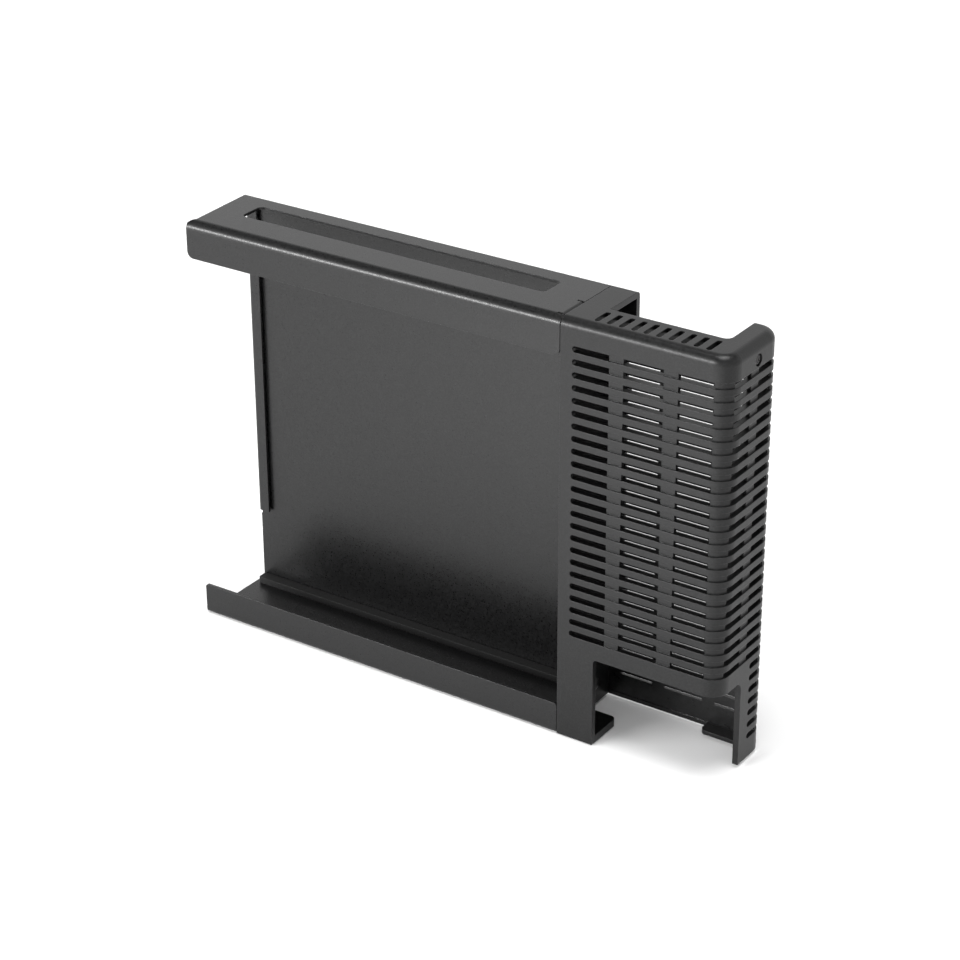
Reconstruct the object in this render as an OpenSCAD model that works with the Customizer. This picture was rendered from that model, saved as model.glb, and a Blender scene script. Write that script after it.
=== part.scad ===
// Wall or desk bracket for a small desktop computer, with a ventilated cage
// for the computer's power adapter on its right.
// Millimetres. X runs right along the front, Y runs back, Z is up.
// The sub-parts are drawn from the sleeve's front left bottom corner, and
// placed with the origin under the middle of the whole bracket.

/* [Sleeve] */
// Width of the folded steel sleeve, across its lips
sleeve_w = 187; // [120:0.5:260]
// Depth of the bracket, front face to back face
body_d = 39.7; // [36:0.1:60]
// Height of the bracket
body_h = 188.7; // [150:0.1:260]
// Thickness of the steel sheet
sheet = 1.2; // [0.8:0.1:2]
// Outer radius of the bend along the top front edge
front_bend_r = 4; // [3:0.1:5]
// Outer radius of the other bends
fold_r = 2; // [2:0.1:3]
// Height of the lip that hangs from the top
top_lip_h = 16.7; // [10:0.1:30]
// Height of the lip that stands on the ledge
ledge_lip_h = 14.4; // [8:0.1:25]
// Radius of the top lip's and the tabs' free corners
lip_corner_r = 3; // [1:0.1:5]
// Radius of the ledge lip's free corners
ledge_corner_r = 1.3; // [0.5:0.1:5]
// How far the ledge and top stop short of the lips at the left
edge_inset = 1.5; // [0.5:0.1:3]
// How far the top stops short just behind its front bend
top_inset = 2.6; // [0.5:0.1:4]

/* [Top slot] */
// Distance of the slot from the sleeve's left edge
slot_left = 16.2; // [8:0.1:30]
// Distance of the slot from the sleeve's right edge
slot_right = 18.3; // [12:0.1:30]
// Distance of the slot from the front face
slot_front = 17.3; // [10:0.1:20]
// Width of the slot, front to back
slot_w = 13.3; // [4:0.1:16]
// Corner radius of the slot
slot_r = 2.4; // [0.5:0.1:4]

/* [Hem] */
// Distance of the back plate and its hem from the sleeve's left edge
plate_left = 2.7; // [1:0.1:5]
// Width of the hem folded over along the plate's left edge
hem_w = 5.9; // [4:0.1:9]
// Air gap inside the hem's fold
hem_gap = 0.9; // [0.2:0.1:1.2]
// Height of the hem's lower end above the base
hem_z = 37.4; // [20:0.1:60]
// Height of the relief notch under the hem
relief_h = 2.7; // [0.8:0.1:4]
// How far the relief notch runs past the fold
relief_d = 0.5; // [0.1:0.1:3]

/* [Side tabs] */
// Distance of the upper tab from the front face
upper_tab_y = 4.2; // [4.2:0.1:8]
// Width of each tab
tab_w = 13.2; // [9:0.1:14]
// Length of each tab along the cage wall
tab_l = 15; // [12:0.5:16]
// Outer radius of the tabs' bends
tab_r = 1.6; // [1.4:0.1:2]
// Width of the bend relief cuts
tab_relief_w = 1.1; // [0.6:0.1:1.5]
// Length of the bend relief cuts
tab_relief_l = 3.1; // [2:0.1:5]
// Distance of the lower tab from the back face
lower_tab_back = 4.4; // [2:0.1:6]

/* [Seat strip] */
// Height of the strip above the ledge
strip_h = 3; // [1:0.1:5]
// Depth of the strip, front to back
strip_d = 5; // [2:0.1:8]
// Distance of the strip from the sleeve's left edge
strip_left = 3.6; // [2:0.1:10]
// Distance of the strip from the sleeve's right edge
strip_right = 3; // [2.5:0.1:10]
// Gap between the strip and the back plate
strip_gap = 0.3; // [0.2:0.1:2]
// Chamfer on the strip's front corners
strip_chamfer = 0.5; // [0.2:0.1:1.5]

/* [Cage] */
// Width of the moulded cage
cage_w = 75.8; // [60:0.1:110]
// Gap between the sleeve and the cage
seam_gap = 0.3; // [0.1:0.1:1]
// Thickness of the cage's front, top and right walls
wall = 2.5; // [2:0.1:3]
// Thickness of the cage's left wall
left_wall = 1.8; // [1.5:0.1:3]
// Thickness of the cage's back panel
back_wall = 1.5; // [1.4:0.1:2.4]
// Radius of the cage's upright corners
corner_r = 8; // [6:0.1:10]
// Width of the cage's left arm across the top
left_arm_w = 12; // [10:0.1:13]
// Width of the cage's right arm across the top
right_arm_w = 10.6; // [9:0.1:12]
// Depth of the cage's top strip along the front
top_strip_d = 17.1; // [16:0.1:18]
// Fillet where the top strip meets the right arm
arm_fillet_r = 3; // [1:0.1:6]
// Height of the notch in the cage's back wall, measured down from the top
back_notch_h = 17.1; // [12:0.1:30]

/* [Cage legs] */
// Width of the left leg at the front
left_leg_w = 17.2; // [12:0.1:20]
// Distance of the right leg from the front face
right_leg_y = 18.45; // [12:0.05:20]
// Height of the cut-out between the legs
cut_h = 41; // [25:0.5:60]
// Radius of the cut-out's upper left corner
cut_left_r = 1.6; // [0.5:0.1:4]
// Radius of the cut-out's upper right corner
cut_right_r = 4; // [1:0.1:6]
// Gap under the left leg
foot_lift = 0.4; // [0.2:0.1:1]
// Gap under the right leg and the back wall
leg_lift = 1.4; // [1:0.1:3]
// Depth of the foot under the left leg
foot_d = 19.6; // [8:0.1:22]
// Thickness of the foot
foot_t = 3.4; // [2:0.1:5]
// Corner radius of the foot and the back shelf
foot_r = 2.5; // [1:0.1:4]
// Distance of the shelf's front from the back face
shelf_d = 8.2; // [6:0.1:10]
// Thickness of the shelf, and height of the rim along the back panel
shelf_t = 1.9; // [1:0.1:3]
// Length of the shelf, from the cage's right side
shelf_l = 25.3; // [18:0.1:40]
// How far the back panel's rim stands out
rim_d = 0.3; // [0.1:0.1:1]

/* [Grille] */
// Distance between slots
pitch = 5.5; // [4.5:0.1:8]
// Height of each slot
slit_h = 2.65; // [1:0.05:3]
// Distance from the top to the first slot's lower edge
first_slit = 13.37; // [11.5:0.01:20]
// Least height of the band between the last slot and the cut-out
band_h = 7; // [3:0.1:12]
// Least height of the back wall and right leg below the last slot
leg_band_h = 8.6; // [6.5:0.1:14]
// Distance of the front slots from the cage's left side
slit_left = 5.5; // [4:0.1:10]
// Depth of the slots where they cross a rib
rib_recess = 0.7; // [0.3:0.1:1.2]
// Distance of the first front rib from the cage's left side
rib_x = 21.9; // [15:0.1:30]
// Distance between ribs, front and back
rib_pitch = 24.4; // [18:0.1:28]
// Width of the front ribs
rib_w = 6.5; // [4:0.1:10]
// Distance of the side rib from the front face
side_rib_y = 17.2; // [14:0.1:20]
// Width of the side rib
side_rib_w = 5.8; // [3:0.1:7]
// How far the corner posts reach along the front and back
post_w = 7.4; // [5:0.1:10]
// How far the front corner post reaches along the side
post_d = 5.4; // [4:0.1:7]
// How far the back corner post reaches along the side
back_post_d = 6.1; // [4:0.1:7]
// Distance of the right leg's short slots from the front face
leg_slit_y = 25; // [24:0.1:26]
// Width of the slots across the cage's top strip
top_slit_w = 2.4; // [1:0.1:3]
// Distance of those slots from the front face
top_slit_y = 4.2; // [4:0.1:6]
// Length of those slots
top_slit_l = 10.2; // [6:0.1:11]
// Distance of the first of them from the cage's left side
top_slit_x = 13.5; // [12:0.1:18]
// Distance between back slots
back_pitch = 5.75; // [4.5:0.05:8]
// Height of each back slot
back_slit_h = 1; // [0.8:0.05:3]
// Height of the lowest back slot above the base
back_slit_z = 12.6; // [8:0.1:20]
// Distance of the back slots from the cage's left side
back_slit_left = 7.6; // [5:0.1:14]
// Distance of the back slots from the back panel's right edge
back_slit_right = 2; // [1:0.1:6]
// Distance of the first back rib from the cage's left side
back_rib_x = 23; // [18:0.1:30]
// Width of the back ribs
back_rib_w = 5.7; // [3:0.1:8]

/* [Back panel] */
// Clearance round the back panel
panel_gap = 0.1; // [0.05:0.05:0.3]
// Thickness of the lugs that the back panel is screwed to
lug_t = 2.6; // [2:0.1:4]
// Width of the lugs, and of the solid pads in front of them
lug_w = 7.5; // [6.5:0.1:9]
// Height of the lugs and pads
lug_h = 8; // [7:0.5:12]

/* [Fasteners] */
// Diameter of the rivets' shanks
rivet_d = 3.2; // [2.4:0.1:4]
// Diameter of the rivets' heads
rivet_head_d = 6; // [5:0.1:8]
// Height of the rivets' heads
rivet_head_h = 1.1; // [0.6:0.1:2]
// Height of the lower rivet above the base
lower_rivet_z = 11; // [9:0.1:13]
// Distance of the upper rivet below the top
upper_rivet_drop = 9; // [8:0.1:12]
// Diameter of the screws' shanks
screw_d = 2.2; // [1.6:0.1:3]
// Diameter of the screws' heads
screw_head_d = 4.8; // [4:0.1:5.5]
// Height of the screws' heads
screw_head_h = 0.9; // [0.5:0.1:1.2]
// Width of the cross in the screws' heads
cross_w = 0.6; // [0.3:0.1:1]
// Depth of the cross in the screws' heads
cross_h = 0.5; // [0.2:0.1:0.7]
// Radial clearance of rivets and screws
hole_gap = 0.1; // [0.05:0.05:0.3]
// Depth of the side screw's recess
recess_d = 0.9; // [0.5:0.1:1.2]
// Distance of the side screw from the front face
side_screw_y = 21.3; // [18:0.1:28]
// Distance of the side screw below the top
side_screw_drop = 7.4; // [7:0.1:9]
// Height of the lower back screws above the base
low_screw_z = 56; // [40:0.5:70]
// Distance of the upper back screws below the top
high_screw_drop = 44; // [30:0.5:60]

/* [Hidden] */
$fn = 64;
over = 1;                                   // how far cutters run past a face
lap = 0.5;                                  // how far joined forms overlap
cage_x = sleeve_w + seam_gap;               // cage's left face
right_x = cage_x + cage_w;                  // cage's right face
arm_x = cage_x + left_arm_w;                // left arm's inner edge
arm_r_x = right_x - right_arm_w;            // right arm's inner edge
leg_x = cage_x + left_leg_w;                // left leg's inner edge
notch_z = body_h - back_notch_h;            // foot of the back wall's notch
panel_y = body_d - back_wall;               // front of the back panel
shell_y = body_d - wall;                    // front of the shell's own back wall
lug_y = panel_y - lug_t;                    // front of the lugs
row_0 = body_h - first_slit;                // lower edge of the top row of slots
front_rows = floor((row_0 - cut_h - band_h) / pitch) + 1;
all_rows = floor((row_0 - leg_lift - leg_band_h) / pitch) + 1;
front_ribs = floor((cage_w - post_w - rib_x - 2 * rib_w) / rib_pitch) + 1;
back_ribs = floor((cage_w - right_arm_w - back_slit_right - back_rib_x - 2 * back_rib_w) / rib_pitch) + 1;
back_rows = floor((notch_z - wall - back_slit_h - back_slit_z) / back_pitch) + 1;
top_slits = floor((cage_w - top_slit_x - corner_r - top_slit_w - wall / 2) / pitch) + 1;
lower_tab_y = body_d - sheet - lower_tab_back - tab_w;
upper_rivet_y = upper_tab_y + tab_w / 2;
lower_rivet_y = lower_tab_y + tab_w / 2;
lug_x = [cage_x + left_wall, arm_r_x - lug_w];
lug_z = [low_screw_z, body_h - high_screw_drop];
steel = [0.13, 0.13, 0.14];
plastic = [0.17, 0.17, 0.18];
trim = [0.08, 0.08, 0.08];

// A rectangle from [0, 0] to [w, h] with its own radius at each corner,
// counted from the origin's corner anticlockwise.
module corner_rect(w, h, r) {
    difference() {
        square([w, h]);
        for (c = [[0, 0, r[0], 0], [w, 0, r[1], 90], [w, h, r[2], 180], [0, h, r[3], 270]])
            if (c[2] > 0)
                translate([c[0], c[1]])
                    rotate(c[3])
                        corner_waste(c[2]);
    }
}

// What a rounded corner of radius r leaves of a square one.
module corner_waste(r) {
    difference() {
        translate([-over, -over])
            square(r + over);
        translate([r, r])
            circle(r);
    }
}

// Draws a side outline, given as [y, z], along X over a length.
module along_x(length) {
    rotate([90, 0, 90])
        linear_extrude(length)
            children();
}

// Draws a front outline, given as [x, z], from y = 0 back over a depth.
module along_y(depth) {
    translate([0, depth, 0])
        rotate([90, 0, 0])
            linear_extrude(depth)
                children();
}

// A round bar along X.
module bar_x(r, length) {
    rotate([0, 90, 0])
        cylinder(r = r, h = length);
}

// Side outline of the folded sheet: lip, top, back plate, ledge and lower lip.
module sheet_outline() {
    f = front_bend_r;
    b = fold_r;
    difference() {
        corner_rect(body_d, body_h, [b, b, b, f]);
        translate([sheet, sheet])
            corner_rect(body_d - 2 * sheet, body_h - 2 * sheet, [b - sheet, b - sheet, b - sheet, f - sheet]);
        translate([-over, ledge_lip_h])
            square([sheet + 2 * over, body_h - top_lip_h - ledge_lip_h]);
    }
}

// Rounds both free corners of a lip whose free edge is at height z; side is 1
// for a lip that hangs and -1 for one that stands.
module lip_corner_cuts(z, side, r) {
    for (x = [0, 1])
        translate([x * sleeve_w, -over, z])
            mirror([x, 0, 0])
                scale([1, 1, side])
                    along_y(sheet + 2 * over)
                        corner_waste(r);
}

// Trims the sheet's left end behind a lip, from height z up over h.
module end_trim(z, h, inset) {
    translate([0, 0, z])
        linear_extrude(h)
            polygon([[-over, sheet], [0, sheet], [inset, front_bend_r], [edge_inset, body_d + over],
                [-over, body_d + over]]);
}

// Plan of a strip with a full round at its left end.
module round_strip(w, r) {
    translate([r, r])
        circle(r);
    translate([r, 0])
        square([w - r, 2 * r]);
}

// Plan of the hem: the plate's left edge folded forward over itself.
module hem_plan() {
    fold_outer_r = sheet + hem_gap / 2;
    translate([plate_left, body_d - 2 * fold_outer_r])
        difference() {
            round_strip(hem_w, fold_outer_r);
            translate([sheet, sheet])
                round_strip(hem_w, hem_gap / 2);
        }
}

// A tab bent square off the sleeve's right edge, pointing down from z = 0 at
// its top face, with its outer face at x = 0.
module side_tab() {
    difference() {
        translate([-tab_r - lap, 0, -tab_l])
            along_y(tab_w)
                difference() {
                    corner_rect(tab_r + lap, tab_l, [0, 0, tab_r, 0]);
                    translate([-over, -over])
                        corner_rect(tab_r - sheet + lap + over, tab_l - sheet + over, [0, 0, tab_r - sheet, 0]);
                }
        translate([-tab_r, 0, -tab_l])
            rotate([90, 0, 90])
                for (y = [0, 1])
                    translate([y * tab_w, 0])
                        mirror([y, 0, 0])
                            linear_extrude(tab_r + over)
                                corner_waste(lip_corner_r);
    }
}

// The notch that makes room for a tab's bend and its relief cuts.
module tab_notch() {
    for (y = [-tab_relief_w, tab_w])
        translate([-tab_relief_l, y, -sheet - over])
            cube([tab_relief_l + over, tab_relief_w, sheet + 2 * over]);
    translate([-tab_r, -tab_relief_w, -sheet - over])
        cube([tab_r + over, tab_w + 2 * tab_relief_w, sheet + 2 * over]);
}

module rivet_hole(y, z) {
    translate([sleeve_w - sheet - over, y, z])
        bar_x(rivet_d / 2 + hole_gap, sheet + seam_gap + left_wall + 2 * over);
}

module sleeve() color(steel) {
    hem_h = body_h - fold_r - sheet - hem_z;
    difference() {
        along_x(sleeve_w)
            sheet_outline();
        lip_corner_cuts(body_h - top_lip_h, 1, lip_corner_r);
        lip_corner_cuts(ledge_lip_h, -1, ledge_corner_r);
        end_trim(-over, body_h / 2 + over, edge_inset);
        end_trim(body_h / 2, body_h / 2 + over, top_inset);
        translate([slot_left, slot_front, body_h - sheet - over])
            linear_extrude(sheet + 2 * over)
                corner_rect(sleeve_w - slot_left - slot_right, slot_w, [slot_r, slot_r, slot_r, slot_r]);
        translate([-over, body_d - sheet - over, fold_r])
            cube([over + plate_left, sheet + 2 * over, body_h - 2 * fold_r]);
        translate([0, body_d - sheet - over, hem_z - relief_h])
            cube([plate_left + relief_d, sheet + 2 * over, relief_h + over]);
        translate([0, body_d - sheet - over, hem_z])
            cube([plate_left + hem_w, sheet + 2 * over, hem_h]);
        translate([sleeve_w, upper_tab_y, body_h])
            tab_notch();
        translate([sleeve_w, lower_tab_y, 0])
            mirror([0, 0, 1])
                tab_notch();
    }
    translate([0, 0, hem_z])
        linear_extrude(hem_h)
            hem_plan();
    difference() {
        union() {
            translate([sleeve_w, upper_tab_y, body_h])
                side_tab();
            translate([sleeve_w, lower_tab_y, 0])
                mirror([0, 0, 1])
                    side_tab();
        }
        rivet_hole(upper_rivet_y, body_h - upper_rivet_drop);
        rivet_hole(lower_rivet_y, lower_rivet_z);
    }
}

// The strip, with its lower back edge cut off to clear the bend behind it.
module seat_strip() color(trim) {
    l = sleeve_w - strip_left - strip_right;
    c = strip_chamfer;
    clear = fold_r - sheet - strip_gap;
    difference() {
        translate([strip_left, body_d - sheet - strip_gap - strip_d, sheet])
            linear_extrude(strip_h)
                polygon([[0, c], [c, 0], [l - c, 0], [l, c], [l, strip_d], [0, strip_d]]);
        translate([strip_left - over, body_d - sheet - strip_gap, sheet])
            along_x(l + 2 * over)
                polygon([[-clear - over, -over], [over, -over], [over, clear + over]]);
    }
}

// Outline of the cage seen from its side, with a radius at the top back edge.
module cage_side_outline(back_r) {
    corner_rect(body_d, body_h, [0, 0, back_r, front_bend_r]);
}

// One upright corner of the cage with its rounded top edge, about its axis.
module cage_corner() {
    rotate_extrude(angle = 90)
        corner_rect(corner_r, body_h, [0, 0, front_bend_r, 0]);
}

// The cage's outer form, solid. Its left arm has a tighter edge at the back.
module cage_outer() {
    flat_w = cage_w - corner_r;
    translate([cage_x, 0, 0])
        along_x(flat_w / 2)
            cage_side_outline(fold_r);
    translate([cage_x + flat_w / 2, 0, 0])
        along_x(flat_w / 2)
            cage_side_outline(front_bend_r);
    translate([right_x - corner_r, corner_r, 0])
        along_y(body_d - 2 * corner_r)
            corner_rect(corner_r, body_h, [0, 0, front_bend_r, 0]);
    translate([right_x - corner_r, body_d - corner_r, 0])
        cage_corner();
    translate([right_x - corner_r, corner_r, 0])
        rotate(-90)
            cage_corner();
}

// Plan of the room inside the cage.
module cage_room() {
    r = corner_r - wall;
    translate([cage_x + left_wall, wall])
        corner_rect(cage_w - left_wall - wall, body_d - 2 * wall, [0, r, r, 0]);
}

// Plan of the ribs that close the slots from the inside.
module rib_plan() {
    translate([0, rib_recess])
        for (i = [0:front_ribs - 1])
            translate([cage_x + rib_x + i * rib_pitch, 0])
                square([rib_w, wall]);
    translate([right_x - rib_recess - wall, side_rib_y])
        square([wall, side_rib_w]);
    intersection() {
        r = corner_r - rib_recess;
        translate([cage_x, rib_recess])
            corner_rect(cage_w - rib_recess, body_d - 2 * rib_recess, [0, r, r, 0]);
        union() {
            translate([right_x - post_w, 0])
                square([post_w, post_d]);
            translate([right_x - post_w, body_d - back_post_d])
                square([post_w, back_post_d]);
        }
    }
}

// Plan of one slot of the shell: along the front from x, or along the side
// from y, then round the back corner to the end of its post.
module slit_plan(full) {
    start_y = leg_slit_y + slit_h / 2;
    difference() {
        if (full) {
            translate([cage_x + slit_left + slit_h / 2, -over])
                square([cage_w, body_d + 2 * over]);
        } else {
            translate([arm_r_x, start_y])
                square([cage_w, body_d]);
        }
        translate([cage_x + 2 * wall, 2 * wall])
            square([cage_w - 4 * wall, body_d - 4 * wall]);
        translate([cage_x, body_d - 2 * wall - over])
            square([cage_w - post_w, body_d]);
        rib_plan();
    }
}

// The rounded front ends of the slots, and the slots themselves.
module slits() {
    for (i = [0:front_rows - 1])
        translate([0, 0, row_0 - i * pitch]) {
            linear_extrude(slit_h)
                slit_plan(true);
            translate([cage_x + slit_left + slit_h / 2, -over, slit_h / 2])
                rotate([-90, 0, 0])
                    cylinder(d = slit_h, h = wall + 1.5 * over);
        }
    for (i = [front_rows:all_rows - 1])
        translate([0, 0, row_0 - i * pitch]) {
            linear_extrude(slit_h)
                slit_plan(false);
            translate([right_x - wall - over / 2, leg_slit_y + slit_h / 2, slit_h / 2])
                bar_x(slit_h / 2, wall + 2 * over);
        }
}

// Slots across the top strip, over the adapter.
module top_slit_cuts() {
    for (i = [0:top_slits - 1])
        translate([cage_x + top_slit_x + i * pitch - top_slit_w / 2, top_slit_y, body_h - wall - over])
            linear_extrude(wall + 2 * over) {
                translate([0, top_slit_w / 2])
                    square([top_slit_w, top_slit_l - top_slit_w]);
                for (y = [top_slit_w / 2, top_slit_l - top_slit_w / 2])
                    translate([top_slit_w / 2, y])
                        circle(d = top_slit_w);
            }
}

// The way in for the adapter: open across the top and down the back.
module top_opening() {
    w = arm_r_x - arm_x;
    translate([arm_x, top_strip_d, body_h - wall - over])
        linear_extrude(wall + 2 * over)
            corner_rect(w, body_d, [0, arm_fillet_r, 0, 0]);
    translate([arm_x, shell_y - over, notch_z - over])
        cube([w, wall + 2 * over, back_notch_h + 2 * over]);
}

// The opening that the back panel closes, with room for the panel's left edge
// behind the left wall.
module panel_opening() {
    translate([cage_x + left_wall, shell_y - over, -over])
        cube([arm_r_x - cage_x - left_wall, wall + 2 * over, notch_z + over]);
    translate([cage_x - over, panel_y, -over])
        cube([left_wall + 2 * over, back_wall + over, notch_z + over]);
}

// What is cut away under the left foot, the right leg and the back wall.
module leg_gaps() {
    translate([cage_x - over, -over, -over])
        cube([cage_w + 2 * over, body_d + 2 * over, over + foot_lift]);
    translate([leg_x, -over, -over])
        cube([cage_w, body_d + 2 * over, over + leg_lift]);
    translate([cage_x - over, foot_d, -over])
        cube([left_leg_w + 2 * over, body_d, over + leg_lift]);
}

// The shelf inside the foot of the back wall.
module shelf() {
    left = right_x - shelf_l;
    translate([left, body_d - shelf_d, leg_lift])
        linear_extrude(shelf_t) {
            corner_rect(arm_r_x - left, shelf_d - back_wall, [foot_r, 0, 0, 0]);
            translate([arm_r_x - left - lap, 0])
                square([right_x - wall + lap - arm_r_x + lap, shelf_d - wall + lap]);
        }
}

// The lugs behind which the back panel is screwed.
module lugs() {
    for (z = lug_z) {
        translate([lug_x[0] - lap, lug_y, z - lug_h / 2])
            cube([lug_w + lap, lug_t, lug_h]);
        translate([lug_x[1], lug_y, z - lug_h / 2]) {
            cube([lug_w, lug_t, lug_h]);
            cube([lug_w + over, shell_y - lug_y + lap, lug_h]);
        }
    }
}

// The cut-out between the legs, round the front right corner.
module leg_opening() {
    translate([leg_x, -over, -over])
        along_y(corner_r + over)
            corner_rect(cage_w, cut_h + over, [0, 0, 0, cut_left_r]);
    translate([right_x - corner_r, 0, -over])
        along_x(corner_r + over)
            corner_rect(right_leg_y, cut_h + over, [0, 0, cut_right_r, 0]);
}

module cage_shell() color(plastic) {
    difference() {
        union() {
            difference() {
                cage_outer();
                translate([0, 0, -over])
                    linear_extrude(body_h - wall + over)
                        cage_room();
                panel_opening();
                top_opening();
                leg_opening();
                top_slit_cuts();
                slits();
                leg_gaps();
            }
            translate([cage_x, 0, foot_lift])
                linear_extrude(foot_t)
                    corner_rect(left_leg_w, foot_d, [0, 0, foot_r, 0]);
            shelf();
            lugs();
        }
        rivet_hole(upper_rivet_y, body_h - upper_rivet_drop);
        rivet_hole(lower_rivet_y, lower_rivet_z);
        translate([right_x - recess_d, side_screw_y, body_h - side_screw_drop])
            bar_x(screw_head_d / 2 + 2 * hole_gap, recess_d + over);
        translate([right_x - wall - over, side_screw_y, body_h - side_screw_drop])
            bar_x(screw_d / 2 + hole_gap, wall + 2 * over);
        for (x = lug_x, z = lug_z)
            translate([x + lug_w / 2, lug_y - over, z])
                rotate([-90, 0, 0])
                    cylinder(r = screw_d / 2 + hole_gap, h = lug_t + 2 * over);
    }
}

// Plan of one slot of the back panel: grooved across its ribs, open between.
module back_slit_plan() {
    left = cage_x + back_slit_left;
    difference() {
        translate([left, panel_y - over])
            square([arm_r_x - back_slit_right - left, back_wall + 2 * over]);
        for (i = [0:back_ribs - 1])
            translate([cage_x + back_rib_x + i * rib_pitch, panel_y - 2 * over])
                square([back_rib_w, back_wall - rib_recess + 2 * over]);
    }
}

module cage_back() color(plastic) {
    top_z = notch_z - panel_gap;
    right = arm_r_x - panel_gap;
    difference() {
        union() {
            difference() {
                translate([cage_x, panel_y + panel_gap, leg_lift])
                    cube([right - cage_x, back_wall - panel_gap, top_z - leg_lift]);
                for (i = [0:back_rows - 1])
                    translate([0, 0, back_slit_z + i * back_pitch])
                        linear_extrude(back_slit_h)
                            back_slit_plan();
            }
            translate([cage_x + left_wall + panel_gap, panel_y + panel_gap - rim_d, leg_lift])
                cube([cage_w - shelf_l - left_wall - 2 * panel_gap, rim_d + lap, shelf_t]);
            for (x = lug_x, z = lug_z)
                translate([x + panel_gap, panel_y + panel_gap, z - lug_h / 2])
                    cube([lug_w - 2 * panel_gap, back_wall - panel_gap, lug_h]);
        }
        for (x = lug_x, z = lug_z)
            translate([x + lug_w / 2, panel_y, z])
                rotate([-90, 0, 0]) {
                    translate([0, 0, -over])
                        cylinder(r = screw_d / 2 + hole_gap, h = back_wall + 2 * over);
                    translate([0, 0, back_wall - recess_d])
                        cylinder(r = screw_head_d / 2 + hole_gap, h = recess_d + over);
                }
    }
}

// Half outline of a domed head of radius r that stands from x = 0 up to h.
module dome_half(r, h) {
    dome_r = (pow(r, 2) + pow(h, 2)) / (2 * h);
    intersection() {
        square([r, h]);
        translate([0, h - dome_r])
            circle(dome_r);
    }
}

// A screw along +Z with its head's seat at z = 0 and a cross in its domed head.
module screw(length) {
    difference() {
        rotate_extrude() {
            translate([0, -length])
                square([screw_d / 2, length + lap]);
            dome_half(screw_head_d / 2, screw_head_h);
        }
        for (a = [45, 135])
            rotate(a)
                translate([-screw_head_d / 4, -cross_w / 2, screw_head_h - cross_h])
                    cube([screw_head_d / 2, cross_w, cross_h + over]);
    }
}

// A rivet along X from the sleeve's tab to the inside of the cage's left wall.
module rivet(y, z) color(trim) {
    grip = sheet + seam_gap + left_wall;
    translate([sleeve_w - sheet, y, z])
        rotate([0, 90, 0])
            rotate_extrude() {
                translate([0, -lap])
                    square([rivet_d / 2, grip + 2 * lap]);
                translate([0, grip])
                    dome_half(rivet_head_d / 2, rivet_head_h);
                mirror([0, 1])
                    dome_half(rivet_head_d / 2, rivet_head_h);
            }
}

module back_screw(x, z) color(trim) {
    translate([x + lug_w / 2, body_d - recess_d, z])
        rotate([-90, 0, 0])
            screw(back_wall - recess_d + lug_t);
}

module side_screw() color(trim) {
    translate([right_x - recess_d, side_screw_y, body_h - side_screw_drop])
        rotate([0, 90, 0])
            screw(wall - recess_d);
}

// Puts the origin under the middle of the bracket.
module placed() {
    translate([-right_x / 2, -body_d / 2, 0])
        children();
}

placed() sleeve();
placed() seat_strip();
placed() cage_shell();
placed() cage_back();
placed() rivet(upper_rivet_y, body_h - upper_rivet_drop);  // upper_rivet
placed() rivet(lower_rivet_y, lower_rivet_z);  // lower_rivet
placed() side_screw();
placed() back_screw(lug_x[0], lug_z[0]);  // back_screw_1
placed() back_screw(lug_x[1], lug_z[0]);  // back_screw_2
placed() back_screw(lug_x[0], lug_z[1]);  // back_screw_3
placed() back_screw(lug_x[1], lug_z[1]);  // back_screw_4
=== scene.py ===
# %% [markdown]
# # A computer bracket with an adapter cage
#
# The object is a folded steel sleeve that holds a small desktop computer, with a moulded plastic cage
# on its right for the power adapter. Every shape comes ready from the CAD model, so this lesson is
# about what is left to a look: a camera, a studio, and five dark finishes that must not look alike.

# %% Load the model
import math

import bpy
from mathutils import Matrix, Vector


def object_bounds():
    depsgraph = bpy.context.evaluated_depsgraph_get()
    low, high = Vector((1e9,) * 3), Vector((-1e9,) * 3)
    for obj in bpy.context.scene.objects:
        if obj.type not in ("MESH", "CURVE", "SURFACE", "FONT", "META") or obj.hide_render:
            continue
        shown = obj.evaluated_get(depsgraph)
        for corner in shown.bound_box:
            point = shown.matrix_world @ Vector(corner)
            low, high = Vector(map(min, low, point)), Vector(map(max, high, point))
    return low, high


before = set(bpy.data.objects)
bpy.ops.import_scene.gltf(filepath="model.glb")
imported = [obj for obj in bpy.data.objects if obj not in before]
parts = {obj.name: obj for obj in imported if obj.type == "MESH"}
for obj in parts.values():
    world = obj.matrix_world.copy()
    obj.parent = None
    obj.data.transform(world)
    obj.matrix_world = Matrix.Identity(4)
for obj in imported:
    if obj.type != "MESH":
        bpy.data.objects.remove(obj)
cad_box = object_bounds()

low, high = (Vector(corner) for corner in cad_box)
middle = (low + high) / 2
print("nodes:", ", ".join(sorted(parts)))
print("size in mm:", [round(1000 * side, 1) for side in high - low])

# %% [markdown]
# ## The camera
#
# A long lens from above and to the right shows the sleeve's open front, the cage's corner and both top
# edges at once. A camera could be aimed with a constraint, but a plain turn about three axes says more:
# how far round, how far up, and how little the horizon leans. The lens is long, so that upright edges
# stay nearly parallel, as in a catalogue picture.

# %% Camera
MM = 0.001
camera_place = Vector((575.8, -840.2, 603.4)) * MM
turn = math.radians(34.225)      # how far round to the right it stands
tilt = math.radians(26.542)      # how far it looks down
lean = math.radians(-0.285)      # how far the horizon leans


def put_in_scene(name, data):
    """A new object that holds a camera, a mesh or a light."""
    made = bpy.data.objects.new(name, data)
    bpy.context.scene.collection.objects.link(made)
    return made


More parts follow.
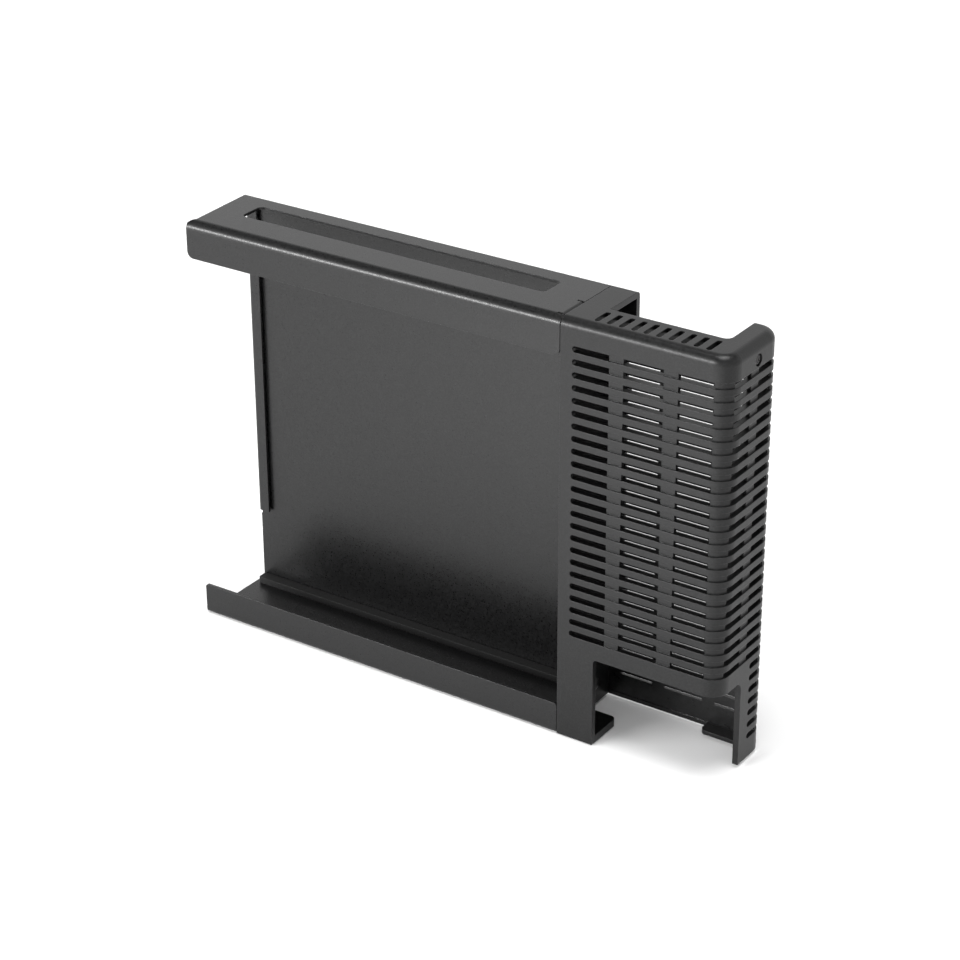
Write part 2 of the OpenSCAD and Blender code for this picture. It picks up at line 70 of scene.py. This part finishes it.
lens = bpy.data.cameras.new("studio_lens")
lens.sensor_width = 36.0
lens.lens = 102.25
lens.clip_start, lens.clip_end = 0.05, 50.0
camera = put_in_scene("studio_camera", lens)
camera.matrix_world = (
    Matrix.Translation(camera_place)
    @ Matrix.Rotation(turn, 4, "Z")
    @ Matrix.Rotation(math.pi / 2 - tilt, 4, "X")
    @ Matrix.Rotation(lean, 4, "Z")
)
bpy.context.scene.camera = camera
print("camera stands", round((camera_place - middle).length, 3), "m from the middle")

# %% [markdown]
# ## Writing node maths as sentences
#
# A procedural finish is arithmetic on textures. Adding and linking every Math node by hand hides that
# arithmetic, so a small class wraps a socket and lets it stand in an expression: `1 - mask * 0.5` then
# adds two Math nodes by itself.

# %% Sockets in expressions
class Value:
    """A socket that can be used in an expression."""

    def __init__(self, tree, socket):
        self.tree = tree
        self.socket = socket

    def maths(self, operation, first, second):
        return self.tree.node("ShaderNodeMath", {"operation": operation}, {0: first, 1: second})

    def __add__(self, other):
        return self.maths("ADD", self, other)

    def __radd__(self, other):
        return self.maths("ADD", other, self)

    def __sub__(self, other):
        return self.maths("SUBTRACT", self, other)

    def __rsub__(self, other):
        return self.maths("SUBTRACT", other, self)

    def __mul__(self, other):
        return self.maths("MULTIPLY", self, other)

    def __rmul__(self, other):
        return self.maths("MULTIPLY", other, self)


print("expressions ready: +, - and *")

# %% [markdown]
# ## Everything that isn't arithmetic
#
# A noise, a ramp or a mix comes from one method that takes the node's type, its settings and what its
# sockets get. Each node could be made and linked line by line, but then the lines would tell how nodes
# are joined and not what the finish is. A material and a sky both hold such a tree, so both use the
# same class.

# %% Trees under construction
class Tree:
    """The nodes of a material or a sky, and the shader that they feed."""

    def __init__(self, owner, shader_name):
        owner.use_nodes = True
        self.nodes = owner.node_tree.nodes
        self.links = owner.node_tree.links
        self.shader = self.nodes[shader_name]

    def node(self, kind, settings, inputs, output=0):
        made = self.nodes.new(kind)
        for key, value in settings.items():
            if key == "stops":
                self.set_stops(made.color_ramp.elements, value)
            else:
                setattr(made, key, value)
        for key, value in inputs.items():
            self.feed(made.inputs[key], value)
        return Value(self, made.outputs[output])

    def set_stops(self, elements, stops):
        """Give a ramp its stops, each a place and a grey, in rising order."""
        while len(elements) < len(stops):
            elements.new(0.5)                   # halfway, until it gets its place below
        for element, (place, grey) in zip(elements, stops):
            element.position = place
            element.color = (grey, grey, grey, 1)

    def feed(self, socket, value):
        if isinstance(value, Value):
            self.links.new(value.socket, socket)
        else:
            socket.default_value = value

    def set(self, **inputs):
        for key, value in inputs.items():
            self.feed(self.shader.inputs[key.replace("_", " ")], value)


class Finish(Tree):
    """A material under construction, with its Principled shader."""

    def __init__(self, name):
        self.material = bpy.data.materials.new(name)
        super().__init__(self.material, "Principled BSDF")


print("tree helpers ready")

# %% [markdown]
# ## What dark finishes have in common
#
# Powder coat, moulded plastic and rubber are all near black, so the eye tells them apart by how light
# breaks on them: the size of the grain, how deep it is, and how far it blurs a reflection. An image
# could hold the grain, but it would need the parts unwrapped, and it blurs up close. Noise in real
# millimetres needs neither. Edges are found by comparing the surface with a copy of itself whose edges
# are slightly rounded. That copy also gives every sharp edge the thin bright line that a real, slightly
# soft edge catches.

# %% Grain and edges
NOISE_MIDDLE = 0.5         # what a noise texture gives on average
FLAT, EDGE = 0.99, 0.8     # cosines between the rounded and the true surface, on a flat and on an edge


def grain(finish, size_mm, detail):
    """Noise on the object's own coordinates, with grains of the given size."""
    place = finish.node("ShaderNodeTexCoord", {}, {}, output="Object")
    return finish.node("ShaderNodeTexNoise", {}, {
        "Vector": place, "Scale": 1 / (size_mm * MM), "Detail": detail, "Roughness": 0.5})


def soft_edges(finish, radius_mm):
    """The normal of a surface with rounded edges, and a mask that is 1 on them."""
    rounded = finish.node("ShaderNodeBevel", {"samples": 6}, {"Radius": radius_mm * MM})
    true_normal = finish.node("ShaderNodeNewGeometry", {}, {}, output="True Normal")
    facing = finish.node("ShaderNodeVectorMath", {"operation": "DOT_PRODUCT"},
                         {0: rounded, 1: true_normal}, output="Value")
    mask = finish.node("ShaderNodeMapRange", {"clamp": True},
                       {"Value": facing, "From Min": FLAT, "From Max": EDGE, "To Min": 0.0, "To Max": 1.0})
    return rounded, mask


print("an edge counts in full from", round(math.degrees(math.acos(EDGE))), "degrees")

# %% [markdown]
# ## One recipe for a dark coat
#
# Every dark piece here gets its colour, roughness and relief from the same grain, so that they agree: a
# high spot is paler and rougher than a low one. Edges are paler, as wear and as a painted highlight,
# and a little smoother, as if polished by hands. Each finish could have its own nodes, but one recipe
# with a few measures shows at a glance how the finishes differ.

# %% Dark coat
# A Mix node has sockets for numbers, vectors and colours. These are its factor and its colours.
MIX_FACTOR, MIX_FIRST, MIX_SECOND, MIX_RESULT = 0, 6, 7, 2
COARSE_SHARE = 0.6         # how much of the grain is coarse, and the rest is fine
EDGE_WEAR_AND_HIGHLIGHT = 0.6            # how far an edge goes from the base colour to the worn one, as wear and as a painted highlight
GRAIN_WEAR = 1.8           # the same for the grain, for each unit of noise
EVEN_WEAR = 0.12           # the same for the whole surface
EDGE_POLISH = 0.08         # how much smoother an edge is


def tint(finish, mask, base, worn):
    """The base colour where the mask is 0, and the worn colour where it is 1."""
    return finish.node("ShaderNodeMix", {"data_type": "RGBA"},
                       {MIX_FACTOR: mask, MIX_FIRST: (*base, 1), MIX_SECOND: (*worn, 1)},
                       output=MIX_RESULT)


def dark_finish(name, base, worn, rough, spread, coarse_mm, fine_mm, depth_mm, edge_mm, shine=0.4):
    """A dark coat: grain in its colour, bump and roughness, and slightly polished edges, paler as wear and
    as a painted highlight.
    """
    finish = Finish(name)
    mottle = (grain(finish, coarse_mm, detail=2.0) * COARSE_SHARE
              + grain(finish, fine_mm, detail=1.0) * (1 - COARSE_SHARE))
    uneven = mottle - NOISE_MIDDLE
    rounded, edge = soft_edges(finish, edge_mm)
    bump = finish.node("ShaderNodeBump", {}, {
        "Strength": 1.0, "Distance": depth_mm * MM, "Height": mottle, "Normal": rounded})
    finish.set(
        # The edge term lightens every edge in the base colour: wear, and a painted highlight.
        Base_Color=tint(finish, edge * EDGE_WEAR_AND_HIGHLIGHT + uneven * GRAIN_WEAR + EVEN_WEAR, base, worn),
        Roughness=rough + uneven * spread - edge * EDGE_POLISH,
        Specular_IOR_Level=shine,
        Normal=bump)
    print(f"{name}: {len(finish.nodes)} nodes, roughness about {rough}")
    return finish


# %% [markdown]
# ## The sleeve's powder coat
#
# The sleeve is steel sheet under a satin black powder coat. Melted powder leaves a faint orange peel
# about a millimetre across, with a finer sparkle in it, and stays smooth enough to mirror the ledge
# in the back plate as a soft dark cloud. So the bump is shallow and the roughness middling.

# %% Powder coat
NEAR_BLACK = (0.0025, 0.0025, 0.0026)
powder_coat = dark_finish(
    "satin_powder_coat", base=NEAR_BLACK, worn=(0.015, 0.015, 0.0155), rough=0.32, spread=0.30,
    coarse_mm=0.9, fine_mm=0.45, depth_mm=0.040, edge_mm=0.35)

# %% [markdown]
# ## The cage's moulded plastic
#
# The cage is an injection moulding from a spark-eroded tool: an even, finer and deeper grain than the
# coat, which scatters light more, so its faces look flatter and its corners catch a softer gleam. The
# back panel comes from a polished tool and is nearly smooth.

# %% Cage and panel
cage_plastic = dark_finish(
    "grained_cage_plastic", base=NEAR_BLACK, worn=(0.017, 0.017, 0.0175), rough=0.37, spread=0.30,
    coarse_mm=0.8, fine_mm=0.42, depth_mm=0.045, edge_mm=0.4, shine=0.33)
panel_plastic = dark_finish(
    "smooth_panel_plastic", base=NEAR_BLACK, worn=(0.014, 0.014, 0.0145), rough=0.30, spread=0.18,
    coarse_mm=2.5, fine_mm=0.6, depth_mm=0.020, edge_mm=0.25)

# %% [markdown]
# ## The rubber strip and the fasteners
#
# The strip that the computer stands on is dull rubber, the roughest surface here. Rivets and screws
# are black oxide on steel, so they are the only finish with metal in it, and the oxide is worn to a
# brown grey along the cross and the rim.

# %% Rubber and black oxide
seat_rubber = dark_finish(
    "seat_rubber", base=(0.006, 0.006, 0.006), worn=(0.014, 0.014, 0.014), rough=0.68, spread=0.20,
    coarse_mm=1.0, fine_mm=0.35, depth_mm=0.035, edge_mm=0.3)
black_oxide = dark_finish(
    "black_oxide_steel", base=(0.040, 0.040, 0.042), worn=(0.160, 0.152, 0.145), rough=0.36, spread=0.20,
    coarse_mm=0.6, fine_mm=0.2, depth_mm=0.010, edge_mm=0.15)
black_oxide.set(Metallic=0.85)

# %% [markdown]
# ## Dressing the parts
#
# Each CAD node already has a material slot, so a finish is put in that slot and the mesh stays as it
# is. A table from node to finish keeps the choice in one place.

# %% Put each finish on its parts
finishes = {"sleeve": powder_coat, "seat_strip": seat_rubber,
            "cage_shell": cage_plastic, "cage_back": panel_plastic}
for name, part in parts.items():
    chosen = finishes.get(name, black_oxide)
    for material_slot in part.material_slots:
        material_slot.material = chosen.material
    print(f"{name}: {chosen.material.name}")

# %% [markdown]
# ## The paper
#
# The bracket stands on white paper, bright enough to vanish except for the soft shadow next to the
# object. A curved backdrop would hide the horizon, but from this high up the lens never sees it, so a
# wide flat sheet does. It lies a hair under the base, because two faces in one plane render as patches.

# %% Paper
paper_side = 12.0              # m, far wider than the lens sees
paper_gap = 0.1 * MM
paper_white = (0.92, 0.92, 0.92, 1)
paper_rough, paper_spread = 0.9, 0.1

half = paper_side / 2
paper_mesh = bpy.data.meshes.new("white_paper")
paper_mesh.from_pydata([(-half, -half, 0), (half, -half, 0), (half, half, 0), (-half, half, 0)],
                       [], [(0, 1, 2, 3)])
paper = put_in_scene("white_paper", paper_mesh)
paper.location.z = low.z - paper_gap
white = Finish("white_paper")
fibres = grain(white, size_mm=6.0, detail=2.0)
white.set(
    Base_Color=paper_white,
    Roughness=paper_rough + (fibres - NOISE_MIDDLE) * paper_spread,
    Specular_IOR_Level=0.1)
paper_mesh.materials.append(white.material)
print("paper lies", round(1000 * (low.z - paper.location.z), 2), "mm under the base")

# %% [markdown]
# ## The sky
#
# A black object is seen mostly by what it mirrors. The sky is white up to about 35 degrees above the
# horizon and nearly black from about 50 degrees, and the rounded top front edge mirrors the black part
# as a dark band. A picture of a studio could be wrapped round the scene, but a ramp on the height of
# each direction needs no file, and its stops say where the dark begins.

# %% Sky
sky_strength = 1.1
sky_stops = ((0.0, 1.0), (0.58, 1.0), (0.76, 0.08))     # the sine of the height, and a grey

sky = bpy.data.worlds.new("studio_sky")
bpy.context.scene.world = sky
sky_tree = Tree(sky, "Background")
direction = sky_tree.node("ShaderNodeTexCoord", {}, {}, output="Generated")
height = sky_tree.node("ShaderNodeSeparateXYZ", {}, {0: direction}, output="Z")
brightness = sky_tree.node("ShaderNodeValToRGB", {"stops": sky_stops}, {"Fac": height})
sky_tree.set(Color=brightness, Strength=sky_strength)
dark_between = [round(math.degrees(math.asin(sine))) for sine, grey in sky_stops[1:]]
print("the sky darkens between these heights in degrees:", dark_between)

# %% [markdown]
# ## Soft lights
#
# Two soft boxes add to the sky's light. A low, narrow one in front, on the left, is mirrored by the
# rounded top front edge as a thin bright line under the dark band. One almost straight above whitens
# the paper and softens the shadow. Small lamps would be simpler, but a dark glossy bend mirrors a small
# lamp as a dot, not as a line.

# %% Soft boxes
def soft_light(name, around, above, distance, width, height, power):
    """A rectangular light aimed at the object's middle; angles are in degrees, 0 is straight in front."""
    light = bpy.data.lights.new(name, "AREA")
    light.shape = "RECTANGLE"
    light.size, light.size_y, light.energy = width, height, power
    around, above = math.radians(around), math.radians(above)
    out = Vector((math.sin(around) * math.cos(above), -math.cos(around) * math.cos(above), math.sin(above)))
    box = put_in_scene(name, light)
    box.location = middle + out * distance
    box.rotation_euler = out.to_track_quat("Z", "Y").to_euler()
    print(f"{name}: {power} W at {[round(c, 2) for c in box.location]}")


soft_light("front_left_box", around=-33, above=14, distance=2.2, width=1.6, height=0.25, power=56)
soft_light("overhead_box", around=60, above=84, distance=2.2, width=1.2, height=1.2, power=45)

# %% [markdown]
# ## A pool of light on the paper
#
# Seen from above, the upright faces mirror the paper in front of them: their lower parts the paper
# close by, and their upper parts the paper about 0.4 m away. A spot straight down on that place makes
# the upper parts paler. The faces could be lit from the front, but that would show in every rounded
# edge as well.

# %% Spot on the paper
pool_place = Vector((0.02, -0.42, 1.3))
pool_angle = math.radians(34)

pool = bpy.data.lights.new("paper_pool", "SPOT")
pool.energy = 105
pool.spot_size, pool.spot_blend = pool_angle, 1.0
pool.shadow_soft_size = 0.05
pool_lamp = put_in_scene("paper_pool", pool)
pool_lamp.location = pool_place
print("pool radius on the paper, m:", round(pool_place.z * math.tan(pool_angle / 2), 2))

# %% [markdown]
# ## Colour
#
# A film-like view would grey the white paper, so the plain one is used, which shows each colour as it
# is worked out.

# %% Plain view
view = bpy.context.scene.view_settings
view.view_transform = "Standard"
view.look = "None"
view.exposure, view.gamma = 0.0, 1.0
print("view:", view.view_transform)
